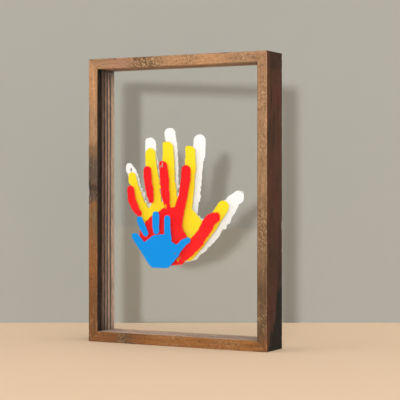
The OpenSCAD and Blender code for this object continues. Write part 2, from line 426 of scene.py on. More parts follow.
def stained_wood():
    """Old stained softwood: the stain and its wear, with painted shade and painted light on the inner and
    outer faces, are painted in layers on each rail.
    """
    material, wires, shader = new_material("stained wood")
    place = wires.layer("grain_place", "Vector")
    stain = wires.layer("stain", "Color")
    nearness = wires.layer("arris", "Fac")
    rough = wires.layer("rough_patch", "Fac")
    front = wires.layer("front", "Fac")
    side = wires.minus(1.0, front)
    grain = wires.use(GRAIN, Place=place, Waviness=0.006)
    # Broad uneven take-up of the stain, warmer, redder or greener in places
    blotch = wires.patches(place, (45, 130, 130), detail=3)
    warmer = wires.blend(1.0, stain, (1.7, 1.4, 1.2, 1.0), "MULTIPLY")
    warmer = wires.blend(front, warmer, opaque((120, 82, 56)))
    colour = wires.blend(wires.between(blotch, 0.52, 0.72, 0.0, 0.4), stain, warmer)
    reddish = wires.patches(place, (60, 210, 210), 1.3, detail=2)
    colour = wires.coat(colour, wires.between(reddish, 0.55, 0.75, 0.0, 0.3), front, (156, 96, 72))
    olive = wires.patches(place, (50, 260, 260), 1.9, detail=2)
    colour = wires.coat(colour, wires.between(olive, 0.56, 0.74, 0.0, 0.45), front, (150, 124, 84))
    # Streaks, fibres and pores, and a fine mottle on the front
    tone = wires.between(grain["Streaks"], 0.30, 0.72, 0.81, 1.16)
    tone = wires.times(tone, wires.between(grain["Fibres"], 0.25, 0.75, 0.92, 1.08))
    mottle = wires.patches(place, (300, 480, 480), detail=3, roughness=0.7)
    mottle = wires.times(wires.between(mottle, 0.34, 0.66, -0.15, 0.15), front)
    tone = wires.times(tone, wires.plus(mottle, 1.0))
    # The darker faces are cloudier, with a purple cast in places
    clouds = wires.patches(place, (90, 330, 330), 1.4, detail=3, roughness=0.6)
    clouds = wires.times(wires.between(clouds, 0.36, 0.64, -0.18, 0.18), side)
    tone = wires.times(tone, wires.plus(clouds, 1.0))
    purple = wires.patches(place, (45, 240, 240), 1.7, detail=2)
    purple = wires.times(wires.between(purple, 0.50, 0.66, 0.0, 0.5), side)
    colour = wires.blend(purple, colour, wires.blend(1.0, colour, (1.02, 0.86, 1.06, 1.0), "MULTIPLY"))
    tone = wires.times(tone, wires.minus(1.0, wires.times(grain["Pores"], 0.3)))
    toned = wires.put("ShaderNodeVectorMath", operation="SCALE")
    wires.feed(toned.inputs[0], colour)
    wires.feed(toned.inputs["Scale"], tone)
    colour = toned.outputs[0]
    # Pale broken wood between dark strokes where a patch is rough
    colour = wires.coat(colour, rough, 0.15, (116, 84, 56))
    slant = wires.slanted(place, math.radians(35), (210, 210, 480))
    cream = wires.noise(slant, detail=3, roughness=0.6, distortion=1.2)
    colour = wires.coat(colour, wires.between(cream, 0.50, 0.57, 0.0, 0.85), rough, (212, 178, 136))
    dark = wires.noise(slant, 1.15, detail=3, roughness=0.6, distortion=1.6)
    colour = wires.coat(colour, wires.between(dark, 0.50, 0.56, 0.0, 0.95), rough, (74, 48, 28))
    # Dark specks, pale flecks near the arrises of the front, and worn arrises
    specks = wires.use(FLECKS, Place=place, Per_Metre=230.0, Size=0.24)["Mask"]
    colour = wires.coat(colour, specks, 0.65, (62, 40, 26))
    narrow = wires.stretch(place, (0.7, 1.2, 1.2))
    pale = wires.use(FLECKS, Place=narrow, Per_Metre=280.0, Size=0.24)["Mask"]
    colour = wires.coat(colour, wires.times(pale, front), wires.plus(nearness, 0.45), (206, 170, 128))
    rubbed = wires.use(RUBBED, Place=place, Nearness=nearness, Amount=0.38)["Mask"]
    worn = wires.blend(front, opaque((112, 84, 66)), opaque((196, 158, 128)))
    colour = wires.blend(wires.times(rubbed, 0.75), colour, worn)
    sheen = wires.plus(0.46, wires.times(grain["Fibres"], 0.22))
    sheen = wires.plus(sheen, wires.times(rubbed, 0.14))
    height = wires.minus(grain["Height"], wires.times(specks, 0.8))
    torn = wires.times(wires.minus(cream, dark), wires.times(rough, 3.0))
    normal = wires.bump(wires.plus(height, torn), 0.55, 0.25 * MM)
    wires.fill(shader, Base_Color=colour, Roughness=sheen, Specular_IOR_Level=0.2, Normal=normal)
    return material


def bare_wood():
    """Pale unfinished hardwood of the corner tongues."""
    material, wires, shader = new_material("bare wood")
    grain = wires.use(GRAIN, Place=wires.place(), Waviness=0.004)
    streaks = wires.between(grain["Streaks"], 0.3, 0.7)
    colour = wires.blend(streaks, opaque((176, 136, 92)), opaque((214, 178, 130)))
    colour = wires.coat(colour, grain["Pores"], 0.5, (120, 88, 56))
    sheen = wires.between(grain["Fibres"], 0.2, 0.8, 0.55, 0.8)
    normal = wires.bump(grain["Height"], 0.4, 0.1 * MM)
    wires.fill(shader, Base_Color=colour, Roughness=sheen, Specular_IOR_Level=0.3, Normal=normal)
    return material


def clear_acrylic():
    """Clear sheet with faint smears. Lamps and soft light pass straight through it."""
    material, wires, shader = new_material("clear acrylic")
    place = wires.place()
    smear = wires.patches(place, (22, 40, 9), detail=5, roughness=0.7)
    dust = wires.use(FLECKS, Place=place, Per_Metre=170.0, Size=0.05)["Mask"]
    shine = wires.plus(wires.between(smear, 0.55, 0.8, 0.0, 0.035), wires.times(dust, 0.1))
    wires.fill(
        shader, Base_Color=(0.995, 0.998, 0.996, 1.0), Transmission_Weight=1.0, IOR=ACRYLIC_BENDING,
        Roughness=shine,
    )
    path = wires.put("ShaderNodeLightPath")
    soft = wires.maths("MAXIMUM", path.outputs["Is Shadow Ray"], path.outputs["Is Diffuse Ray"])
    through = wires.put("ShaderNodeBsdfTransparent")
    set_surface(material, wires, wires.either(soft, shader.outputs[0], through.outputs[0]))
    return material


def craft_paint(name, paint, thin):
    """Dried craft paint: a strong flat colour, a little thinner in places."""
    material, wires, shader = new_material(name)
    place = wires.place()
    cloud = wires.noise(place, 160, detail=4, roughness=0.6)
    colour = wires.blend(wires.between(cloud, 0.55, 0.8, 0.0, 0.35), opaque(paint), opaque(thin))
    ridges = wires.noise(place, 900, detail=3, roughness=0.6)
    sheen = wires.between(ridges, 0.3, 0.7, 0.42, 0.6)
    normal = wires.bump(wires.plus(ridges, wires.times(cloud, 2.0)), 0.25, 0.1 * MM)
    wires.fill(shader, Base_Color=colour, Roughness=sheen, Specular_IOR_Level=0.15, Normal=normal)
    return material


def plated_steel():
    """Zinc-plated strip with a dulled, lightly spotted face."""
    material, wires, shader = new_material("plated steel")
    place = wires.place()
    cloud = wires.noise(place, 260, detail=4, roughness=0.65)
    brushed = wires.patches(place, (300, 300, 3200), detail=2)
    spots = wires.use(FLECKS, Place=place, Per_Metre=420.0, Size=0.3)["Mask"]
    colour = wires.blend(wires.between(cloud, 0.35, 0.7), opaque((168, 170, 172)), opaque((208, 206, 198)))
    colour = wires.coat(colour, spots, 0.6, (122, 108, 92))
    dull = wires.plus(wires.between(cloud, 0.3, 0.7, 0.28, 0.46), wires.times(spots, 0.2))
    normal = wires.bump(brushed, 0.15, 0.05 * MM)
    wires.fill(shader, Base_Color=colour, Metallic=1.0, Roughness=dull, Normal=normal)
    return material


WOOD = stained_wood()
BARE = bare_wood()
ACRYLIC = clear_acrylic()
STEEL = plated_steel()
# Each paint, and its colour where it is thin
PAINTS = {
    "blue_handprint": craft_paint("blue paint", (2, 138, 224), (20, 150, 230)),
    "red_handprint": craft_paint("red paint", (244, 2, 16), (240, 16, 26)),
    "yellow_handprint": craft_paint("yellow paint", (250, 222, 0), (248, 222, 14)),
    "white_handprint": craft_paint("white paint", (250, 252, 255), (246, 248, 251)),
}

# Rails

# Stain along the front of each rail: (share of its length from the left or bottom, stain)
FRONT_STAIN = {
    "left_rail": [
        (0.0, "walnut"), (0.16, "walnut"), (0.26, "russet"), (0.36, "fawn"), (0.44, "moss"),
        (0.485, "fawn"), (0.50, "weathered"), (0.512, "weathered"), (0.526, "dusk"), (0.548, "dusk"),
        (0.566, "weathered"), (0.63, "weathered"), (0.67, "olive"), (0.69, "olive"), (0.705, "tan"),
        (0.80, "tan"), (0.87, "honey"), (1.0, "honey"),
    ],
    "right_rail": [
        (0.0, "chestnut"), (0.06, "dull"), (0.20, "dull"), (0.30, "olive"), (0.50, "olive"),
        (0.54, "drab"), (0.64, "drab"), (0.69, "tan"), (1.0, "tan"),
    ],
    "bottom_rail": [
        (0.0, "chestnut"), (0.14, "chestnut"), (0.22, "dull"), (0.28, "chestnut"), (0.42, "amber"),
        (0.90, "amber"), (1.0, "walnut"),
    ],
    "top_rail": [
        (0.0, "tan"), (0.10, "tan"), (0.20, "rosy"), (0.32, "olive"), (0.42, "tan"), (0.55, "honey"),
        (0.74, "honey"), (0.84, "tan"), (1.0, "tan"),
    ],
}
# Stain across the inner face of each rail, with painted light that makes the uprights' inner faces paler
# towards the back: (share of the depth from the front, stain)
INSIDE_STAIN_AND_LIGHT = [
    (0.0, "soot"), (0.24, "soot"), (0.31, "bark"), (0.50, "driftwood"), (0.68, "taupe"), (0.82, "taupe"),
    (1.0, "putty"),
]
INNER_STAIN = {
    "left_rail": INSIDE_STAIN_AND_LIGHT,
    "right_rail": INSIDE_STAIN_AND_LIGHT,
    # The ledge's pale colour is partly a painted reflection
    "bottom_rail": [(0.0, "ledge")],
    "top_rail": [(0.0, "shade")],
}
# Torn or knotty patches on the front: (share of the length, half length in mm, strength)
ROUGH_PATCHES = {
    "left_rail": [],
    "right_rail": [(0.84, 18, 0.4), (0.70, 14, 0.45), (0.42, 26, 0.45), (0.12, 12, 0.22)],
    "bottom_rail": [(0.20, 7, 0.3), (0.50, 16, 0.2), (0.78, 18, 0.25)],
    "top_rail": [(0.33, 19, 1.0), (0.57, 9, 0.5), (0.86, 8, 0.6)],
}
# Small pits on the front: (share of the length, mm in from the outer edge, radius in mm)
PITS = {
    "left_rail": [(0.54, 9.5, 0.7), (0.55, 11, 0.6), (0.22, 5, 0.5)],
    "right_rail": [
        (0.952, 6.5, 0.6), (0.947, 9, 0.5), (0.945, 10.5, 0.5), (0.91, 5, 0.5), (0.805, 10, 0.7),
        (0.80, 8.5, 0.6), (0.79, 9.5, 0.5), (0.72, 9, 0.5), (0.675, 4, 0.6), (0.44, 6, 0.5),
    ],
    "bottom_rail": [(0.36, 5, 0.5), (0.64, 7.5, 0.7), (0.69, 4, 0.7), (0.85, 4.5, 0.7), (0.89, 8, 0.5)],
    "top_rail": [(0.51, 7, 0.6), (0.62, 4, 0.5), (0.90, 4, 0.6), (0.93, 7, 0.5)],
}
# Painted shade at each end of the inner face, where the rails meet: how much light each end keeps (left or
# bottom end, right or top end)
INNER_END_SHADE = {
    "left_rail": (0.60, 0.20),
    "right_rail": (0.60, 0.20),
    "bottom_rail": (0.45, 0.70),
    "top_rail": (0.35, 0.60),
}
# Darkness of the line beside the inner arris of the front
INNER_LINE = {"left_rail": 0.65, "right_rail": 0.1, "bottom_rail": 0.35, "top_rail": 0.15}
# How much paler the front is along its outer arris: wear, and on the right rail also a painted highlight
OUTER_WEAR_AND_HIGHLIGHT = {"left_rail": 0.15, "right_rail": 0.5, "bottom_rail": 0.1, "top_rail": 0.1}
# Dark cracks in an outer face: (share of the length, mm from the front, half length and width in mm)
CRACKS = {
    "right_rail": [
        (0.845, 12.5, 10.0, 1.1), (0.78, 20.5, 9.0, 0.9), (0.70, 17.0, 8.0, 0.7),
        (0.56, 30.0, 12.0, 0.7), (0.46, 13.0, 8.0, 0.7), (0.33, 9.0, 10.0, 0.7),
    ],
    "left_rail": [(0.72, 24.0, 12.0, 0.6), (0.41, 13.0, 10.0, 0.5)],
    "top_rail": [(0.30, 15.0, 12.0, 0.5), (0.71, 29.0, 14.0, 0.6)],
}
# Upper edge of the blackened foot of an upright: (share of the depth from the front, of the height)
FOOT_EDGE = [
    (0.0, 0.0), (0.13, 0.034), (0.27, 0.05), (0.43, 0.075), (0.53, 0.10), (0.60, 0.145), (0.66, 0.19),
    (1.0, 0.21),
]
FOOT_STRENGTH = {"left_rail": 0.6, "right_rail": 1.0}
ARRIS_R = 0.8 * MM
# The glued mitres close this much further than their rounded meeting edges would show
MITRE_CLOSE = 0.12 * MM
# The sharp ends of the rails stop this far inside their nodes
END_BACK = 0.03 * MM
# Half the unevenness of a planed face, and half the depth of a torn patch
SWELL = 0.05 * MM
TORN_DEEP = 0.16 * MM
# Torn patches reach this far back from the front
TORN_BAND = 3 * MM
# Cells that a rail is built from: along it, near its ends, across its depth, across its width
LONG_CELL = 1.2 * MM
END_CELL = 0.6 * MM
DEEP_CELL = 0.62 * MM
WIDE_CELL = 0.6 * MM
KERF_CELL = 0.3 * MM
CELLS_PAST = 0.9 * MM
# Length of each end of a rail with the finer cells
FINE_END = 11 * MM
# An arris counts as near within about this distance
ARRIS_REACH = 1.0 * MM


def groove_distance(pane, deep):
    """How far each place is from the sides of a pane's groove, below zero in it."""
    low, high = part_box(pane)
    return np.abs(deep - (low.y + high.y) / 2) - ((high.y - low.y) / 2 + FACE_GAP)


class Rail:
    """One rail in its own directions: along it, across the depth, and in from its outer face."""

    def __init__(self, node, seed):
        low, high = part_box(node)
        self.node = node
        self.seed = seed
        self.upright = (high.z - low.z) > (high.x - low.x)
        self.length = high.z - low.z if self.upright else high.x - low.x
        self.far = node in ("right_rail", "top_rail")

    def to_frame(self, along, deep, inward):
        """Points in the frame from places on the rail."""
        if self.upright:
            side = FRAME_W / 2 - inward if self.far else inward - FRAME_W / 2
            return np.stack([side, deep, along + FRAME_H / 2], axis=-1)
        height = FRAME_H - inward if self.far else inward
        return np.stack([along, deep, height], axis=-1)

    def is_mirrored(self):
        """True if to_frame turns the rail inside out."""
        start = self.to_frame(0.0, 0.0, 0.0)
        steps = [self.to_frame(*step) - start for step in np.eye(3)]
        return np.linalg.det(np.array(steps)) < 0

    def patch_mask(self, along):
        mask = np.zeros_like(along)
        for share, half, strength in ROUGH_PATCHES[self.node]:
            away = np.abs(along - (share - 0.5) * self.length) / (half * MM)
            mask = np.maximum(mask, strength * np.clip(1.6 - away, 0, 1))
        return mask

    def edge_cut(self, along, deep, inward):
        """How far each long arris has been rubbed down."""
        corner = (deep > 0) * 1.0 + (inward > RAIL_W / 2) * 2.0
        at = np.stack([along, corner * 50 * MM, np.zeros_like(along)], axis=-1)
        soft = 0.30 + 0.20 * lumps(at, (11, 1, 1), self.seed)
        soft = soft + 0.16 * lumps(at, (3.2, 1, 1), self.seed + 1)
        chip = np.clip(lumps(at, (6.5, 1, 1), self.seed + 2) - 0.62, 0, 1) * 2.2
        gentler = np.where(inward > RAIL_W / 2, 0.7, 1.0)
        return np.clip((soft + chip) * gentler, 0.05, 1.5) * MM

    def field(self, along, deep, inward):
        """Below zero in the wood."""
        over_deep = np.abs(deep) - FRAME_D / 2
        over_in = np.abs(inward - RAIL_W / 2) - RAIL_W / 2
        a = over_deep + ARRIS_R
        b = over_in + ARRIS_R
        section = np.hypot(np.maximum(a, 0), np.maximum(b, 0)) + np.minimum(np.maximum(a, b), 0) - ARRIS_R
        rubbed = (over_deep + over_in) / math.sqrt(2) + self.edge_cut(along, deep, inward)
        wood = np.maximum(section, rubbed)
        at = np.stack([along, deep, inward], axis=-1)
        swell = SWELL * (1 + lumps(at, (34, 5, 5), self.seed + 3))
        torn = TORN_DEEP * self.patch_mask(along) * (1 + lumps(at, (3.4, 2.2, 2.2), self.seed + 4))
        wood = wood + swell + torn * (deep < -FRAME_D / 2 + TORN_BAND)
        for share, in_mm, radius in PITS[self.node]:
            gap = np.sqrt(
                ((along - (share - 0.5) * self.length) / 1.5) ** 2
                + (deep + FRAME_D / 2) ** 2
                + (inward - in_mm * MM) ** 2
            )
            wood = np.maximum(wood, radius * MM - gap)
        wood = np.maximum(wood, (np.abs(along) - (self.length / 2 - inward)) / math.sqrt(2) - MITRE_CLOSE)
        wood = np.maximum(wood, np.abs(along) - self.length / 2 + END_BACK)
        for pane in PANES:
            slot = groove_distance(pane, deep)
            if self.node == "top_rail":
                slot = np.maximum(slot, np.abs(along) - (PANE_W / 2 + EDGE_GAP))
            else:
                slot = np.maximum(slot, SEAT_Z - inward)
            wood = np.maximum(wood, -slot)
        kerf_low, kerf_high = nail_kerf()
        from_end = self.length / 2 - np.abs(along)
        kerf = np.maximum(
            np.maximum(kerf_low - from_end, from_end - kerf_high),
            np.maximum(np.abs(inward - NAIL_LINE) - NAIL_HALF, FRAME_D / 2 - NAIL_SUNK - deep),
        )
        return np.maximum(wood, -kerf)

    def upright_black(self, share, back, inward, cloud, at):
        """Blackening of an upright: a jagged foot, the lower half and the top end."""
        jags = lumps(at, (9, 1.6, 1.6), self.seed + 11)
        edge = np.interp(back, *zip(*FOOT_EDGE)) + 0.012 * cloud + 0.018 * jags
        foot = 1.3 * np.clip((edge - share) / 0.04 + 0.4, 0, 1)
        foot = foot + 0.45 * np.clip((edge + 0.10 * back - share) / 0.12, 0, 1)
        # Fades across the back
        strength = FOOT_STRENGTH[self.node] * np.clip(1.1 - inward / (10 * MM), 0.3, 1)
        lower_half = 0.20 * np.clip((0.47 - share) / 0.08, 0, 1)
        top_end = 0.42 * np.clip((share - 0.938) / 0.01, 0, 1) * np.clip(back * 4, 0.3, 1)
        return foot * strength + lower_half + top_end

    def side_stain_and_shade(self, along, deep, inward, at):
        """Dark stain of the outer and back faces, darkened further by painted shade, warmer towards the
        front and cracked in places.
        """
        share = along / self.length + 0.5
        back = deep / FRAME_D + 0.5
        cloud = lumps(at, (38, 9, 9), self.seed + 6) + 0.5 * lumps(at, (15, 4, 4), self.seed + 7)
        black = 0.26 * cloud
        if self.upright:
            black = black + self.upright_black(share, back, inward, cloud, at)
        warm = np.clip(0.45 - back, 0, 0.45)[..., None] * np.array([0.5, 0.2, -0.9])
        # The dark umber is partly a real stain and partly painted shade
        tone = np.array(linear(STAINS["umber"])) * (1 + warm)
        red = np.clip(1.5 * lumps(at, (24, 7, 7), self.seed + 10) - 0.1, 0, 0.75)[..., None]
        tone = tone + (np.array(linear(STAINS["wine"])) - tone) * red
        for spot, from_front, half_long, half_wide in CRACKS.get(self.node, []):
            wander = 0.25 * MM * np.sin(along / (2.6 * MM))
            off = deep + FRAME_D / 2 - from_front * MM - wander
            gap = np.hypot((along - (spot - 0.5) * self.length) / half_long, off / half_wide) / MM
            black = black + np.clip(1.5 - gap, 0, 1)
        return tone + (np.array(linear(STAINS["charred"])) - tone) * np.clip(black, 0, 1)[..., None]

    def inner_stain_and_shade(self, along, deep, at):
        """Stain of the face that looks into the frame, with painted shade that darkens it towards its
        ends.
        """
        tone = between_stains(INNER_STAIN[self.node], deep / FRAME_D + 0.5)
        low_keep, high_keep = INNER_END_SHADE[self.node]
        half = self.length / 2 - RAIL_W
        # Painted shade near each end, where the other rails meet this face
        low_end_shade = (1 - low_keep) * np.exp(-(along + half) / (9 * MM))
        high_end_shade = (1 - high_keep) * np.exp(-(half - along) / (9 * MM))
        patchy = 0.14 * lumps(at, (22, 3, 3), self.seed + 8)
        patchy = patchy + 0.10 * lumps(at, (7, 2, 2), self.seed + 9)
        keep = np.clip(1 - low_end_shade - high_end_shade, 0.1, 1) * (1 + patchy)
        # Painted reflection on the ledge: lightest at its left end, fading along it
        if self.node == "bottom_rail":
            keep = keep * (1.12 - 0.34 * (along / self.length + 0.5))
        return tone * keep[..., None]

    def stains(self, along, deep, inward):
        """Colour of the stain with its painted shade and painted light, as light, at each point."""
        at = np.stack([along, deep, inward], axis=-1)
        drift = along + lumps(at, (16, 4, 4), self.seed + 5) * 7 * MM
        share = drift / self.length + 0.5
        front = between_stains(FRONT_STAIN[self.node], share)
        line = np.clip(1 - (RAIL_W - inward) / (1.1 * MM), 0, 1) * INNER_LINE[self.node]
        # Paler along the outer arris: wear, and on the right rail a painted highlight
        worn = np.clip(1 - inward / (1.3 * MM), 0, 1) * OUTER_WEAR_AND_HIGHLIGHT[self.node]
        front = front * (1 - line + worn)[..., None]
        for spot, in_mm, radius in PITS[self.node]:
            gap = np.hypot(along - (spot - 0.5) * self.length, inward - in_mm * MM) / (radius * MM)
            front = front * (1 - 0.6 * np.clip(1.9 - gap, 0, 1))[..., None]
        on_front = face_share(deep + FRAME_D / 2)
        on_inner = face_share(RAIL_W - inward)
        rest = self.side_stain_and_shade(along, deep, inward, at)
        rest = rest + (self.inner_stain_and_shade(along, deep, at) - rest) * on_inner[..., None]
        # Painted shade: darker beside each groove, and darkest in it
        for pane in PANES:
            from_slot = groove_distance(pane, deep)
            beside = np.clip(1 - from_slot / (0.5 * MM), 0, 1) * on_inner
            rest = rest * (1 - 0.55 * beside[..., None])
            in_groove = (from_slot < 0.02 * MM) & (inward < RAIL_W - 0.2 * MM)
            in_groove &= inward > SEAT_Z - 0.5 * MM
            rest = np.where(in_groove[..., None], linear(STAINS["pitch"]), rest)
        return rest + (front - rest) * on_front[..., None], on_front


def between_stains(stops, share):
    """Light of the stains listed in stops, blended at each share of the way."""
    places = [place for place, _ in stops]
    tones = np.array([linear(STAINS[name]) for _, name in stops])
    return np.stack([np.interp(share, places, tones[:, k]) for k in range(3)], axis=-1)


def face_share(distance):
    """1 on a face, falling to 0 a little way off it."""
    return np.clip(1.25 - distance / (0.6 * MM), 0, 1)


# The V-shaped nails show in shallow kerfs at the back
NAIL_LOW, NAIL_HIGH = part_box("v_nail_bottom_left")
NAIL_SUNK = FRAME_D / 2 - NAIL_HIGH.y + 0.1 * MM
NAIL_LINE = NAIL_LOW.z + 0.3 * MM
NAIL_HALF = 0.45 * MM


def nail_kerf():
    """Near and far end of a kerf, from the end of the rail."""
    return NAIL_LOW.x + FRAME_W / 2, NAIL_HIGH.x + FRAME_W / 2


def make_rail(node, seed):
    """Solid rail with worn arrises, its stain with painted shade and painted light painted on, and the
    place of its grain kept.
    """
    rail = Rail(node, seed)
    step = LONG_CELL * 1.0
    # The cells along a rail start a little before its end
    reach = rail.length / 2 + 1.0 * MM
    fine_from = rail.length / 2 - FINE_END
    along = grid_lines(-reach, reach, step, [(-reach, -fine_from, END_CELL), (fine_from, reach, END_CELL)])
    deep = grid_lines(-FRAME_D / 2 - CELLS_PAST, FRAME_D / 2 + CELLS_PAST, DEEP_CELL)
    kerf = (NAIL_LINE - 0.9 * MM, NAIL_LINE + 0.9 * MM, KERF_CELL)
    inward = grid_lines(-CELLS_PAST, RAIL_W + CELLS_PAST, WIDE_CELL, [kerf])
    mesh = np.meshgrid(along, deep, inward, indexing="ij")
    points, quads = skin_of(rail.field(*mesh), (along, deep, inward))
    placed = rail.to_frame(*points.T)
    piece = mesh_piece(node + "_wood", placed, quads[:, ::-1] if rail.is_mirrored() else quads)
    stain, on_front = rail.stains(*points.T)
    # The stain layer also holds painted shade and painted light
    give_colour(piece, "stain", stain)
    give_value(piece, "front", on_front)
    # Each rail has its own stretch of the grain
    shift = np.array([0.37 * seed, 0.11 * seed, 0.05 * seed])
    give_vector(piece, "grain_place", points + shift)
    over_deep = np.abs(points[:, 1]) - FRAME_D / 2
    over_in = np.abs(points[:, 2] - RAIL_W / 2) - RAIL_W / 2
    give_value(piece, "arris", np.exp(-np.hypot(over_deep, over_in) / ARRIS_REACH))
    give_value(piece, "rough_patch", rail.patch_mask(points[:, 0]) * on_front)
    dress(piece, "frame", node, WOOD)


# Panes

PANE_EASE = 0.25 * MM


def make_pane(node, body):
    """Clear sheet with small polished arrises."""
    low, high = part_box(node)
    shape = bmesh.new()
    bmesh.ops.create_cube(shape, size=1.0)
    for corner in shape.verts:
        corner.co = Vector(low[k] + (corner.co[k] + 0.5) * (high[k] - low[k]) for k in range(3))
    bmesh.ops.bevel(shape, geom=shape.edges[:], offset=PANE_EASE, segments=2, affect="EDGES", profile=0.5)
    bmesh.ops.recalc_face_normals(shape, faces=shape.faces[:])
    name = node + "_sheet"
    dress(add_object(name, to_mesh(shape, name)), body, node, ACRYLIC)


# Handprints

def print_outline(node):
    """Straight pieces round the front of a print, as two ends each in X and Z."""
    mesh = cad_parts[node].data
    seen = {}
    for face in mesh.polygons:
        if face.normal.y > -0.9:
            continue
        corners = [mesh.vertices[i].co for i in face.vertices]
        for first, second in zip(corners, corners[1:] + corners[:1]):
            ends = [tuple(round(v, 6) for v in (p.x, p.z)) for p in (first, second)]
            key = tuple(sorted(ends))
            seen[key] = seen.get(key, 0) + 1
    return [key for key, times in seen.items() if times == 1]


def edge_distance(x, z, outline):
    """Distance from the outline, below zero inside it."""
    nearest = np.full(x.shape, 1e9)
    inside = np.zeros(x.shape, bool)
    for (x0, z0), (x1, z1) in outline:
        dx = x1 - x0
        dz = z1 - z0
        share = np.clip(((x - x0) * dx + (z - z0) * dz) / (dx * dx + dz * dz + 1e-18), 0, 1)
        nearest = np.minimum(nearest, (x - x0 - share * dx) ** 2 + (z - z0 - share * dz) ** 2)
        if abs(dz) > 1e-9:
            level = (z0 > z) != (z1 > z)
            inside ^= level & (x < x0 + (z - z0) * dx / dz)
    return np.where(inside, -1, 1) * np.sqrt(nearest)


# How uneven the edge of each print is, in mm
RAGGED = {"blue_handprint": 0.5, "red_handprint": 1.2, "yellow_handprint": 1.8, "white_handprint": 2.4}
# How far the paint spread past the outline of the hand, in mm
SPREAD = {"blue_handprint": 0.05, "red_handprint": 0.05, "yellow_handprint": 0.05, "white_handprint": 0.6}
# Rubbed spots that show the pane: (mm from the middle, mm above the table, half width and height in mm)
BARE_SPOTS = {
    "blue_handprint": [(-4.3, 111.0, 0.8, 0.9)],
    "red_handprint": [
        (-25.9, 218.3, 0.7, 2.6), (-28.2, 216.6, 0.6, 1.6), (-21.0, 168.3, 0.6, 3.4),
        (-25.2, 172.0, 0.7, 2.8), (-28.6, 174.0, 0.6, 2.0), (-4.4, 103.0, 1.5, 1.8),
        (-1.6, 105.5, 0.8, 1.0),
    ],
    "yellow_handprint": [(-63.0, 152.0, 0.8, 1.8)],
    "white_handprint": [(-78.2, 212.9, 0.9, 2.2)],
}
# Paint this far from its edge is kept, with what hangs on it within so many cells
PATCH_DEEP = 1.2 * MM
PATCH_SPREADS = 16
# Heights of the cells in the film, in shares of its thickness from the pane
FILM_LEVELS = [1.3, 1.0, 0.75, 0.5, 0.25, 0.0, -0.2]
# Keeps those heights off the face of the pane, where rounding would decide
LEVELS_OFF = 0.003 * MM
# The rim of the paint would take this width to full thickness
RIM_WIDE = 0.7 * MM
# Paint further from its edge than this counts as this far
FILM_DEEP = 0.3 * MM
# Noise above this makes one of the rare pinholes
PINHOLE_LEVEL = 0.95


def without_flakes(away):
    """The same distances, with specks of paint that touch no larger patch left out."""
    wet = away < 0
    kept = away < -PATCH_DEEP
    for _ in range(PATCH_SPREADS):
        near = kept.copy()
        near[1:] |= kept[:-1]
        near[:-1] |= kept[1:]
        near[:, 1:] |= kept[:, :-1]
        near[:, :-1] |= kept[:, 1:]
        kept = near & wet
    return np.where(wet & ~kept, 0.2 * MM, away)


def paint_distance(node, x, z, seed):
    """Distance from the ragged edge of the paint, below zero in it."""
    low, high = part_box(node)
    flat = np.stack([x, 0 * x, z], axis=-1)
    ragged = 0.62 * lumps(flat, (3.3, 1, 3.3), seed) + 0.55 * lumps(flat, (1.5, 1, 1.5), seed + 1)
    uneven = np.clip(0.65 + 1.0 * lumps(flat, (16, 1, 16), seed + 4), 0.25, 1.2)
    near_tip = np.clip((high.z - z) / (0.3 * (high.z - low.z)), 0.3, 1)
    away = edge_distance(x, z, print_outline(node))
    away = away + (ragged * uneven * near_tip * RAGGED[node] - SPREAD[node]) * MM
    over_side = np.abs(x - (low.x + high.x) / 2) - (high.x - low.x) / 2
    over_end = np.abs(z - (low.z + high.z) / 2) - (high.z - low.z) / 2
    away = without_flakes(np.maximum(away, np.maximum(over_side, over_end)))
    holes = np.clip(lumps(flat, (1.9, 1, 1.9), seed + 2) - PINHOLE_LEVEL, 0, 1) * 12 * MM
    away = np.maximum(away, holes - FILM_DEEP)
    for at_x, at_z, half_x, half_z in BARE_SPOTS[node]:
        gap = np.hypot((x - at_x * MM) / half_x, (z - at_z * MM) / half_z) - (1 + 0.5 * ragged) * MM
        away = np.maximum(away, -gap * half_x)
    return away


def make_print(node, body, seed):
    """Film of paint pressed on by a hand, with a soft raised rim and a few bare pinholes."""
    low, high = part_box(node)
    paint_t = high.y - low.y
    step = 0.62 * MM
    if high.z - low.z < 90 * MM:
        step *= 0.7
    xs = grid_lines(low.x - 2 * step, high.x + 2 * step, step)
    zs = grid_lines(low.z - 2 * step, high.z + 2 * step, step)
    ys = high.y - np.array(FILM_LEVELS) * paint_t - LEVELS_OFF
    x, z = np.meshgrid(xs, zs, indexing="ij")
    away = paint_distance(node, x, z, seed)
    rim = np.clip(-away / RIM_WIDE, 0, 1)
    cloud = lumps(np.stack([x, 0 * x, z], axis=-1), (5, 1, 5), seed + 3)
    fullness = np.clip(0.72 + 0.14 * cloud + 0.14 * np.exp(away / (1.6 * MM)), 0.3, 1.0)
    thick = paint_t * fullness * np.sqrt(rim * (2 - rim))
    rise = high.y - ys[None, :, None]
    field = np.maximum(rise - thick[:, None, :], -rise)
    field = np.maximum(field, away[:, None, :] * (paint_t / MM))
    points, quads = skin_of(field, (xs, ys, zs))
    piece = mesh_piece(node + "_film", points, quads)
    dress(piece, body, node, PAINTS[node])


# Hanger and its nails

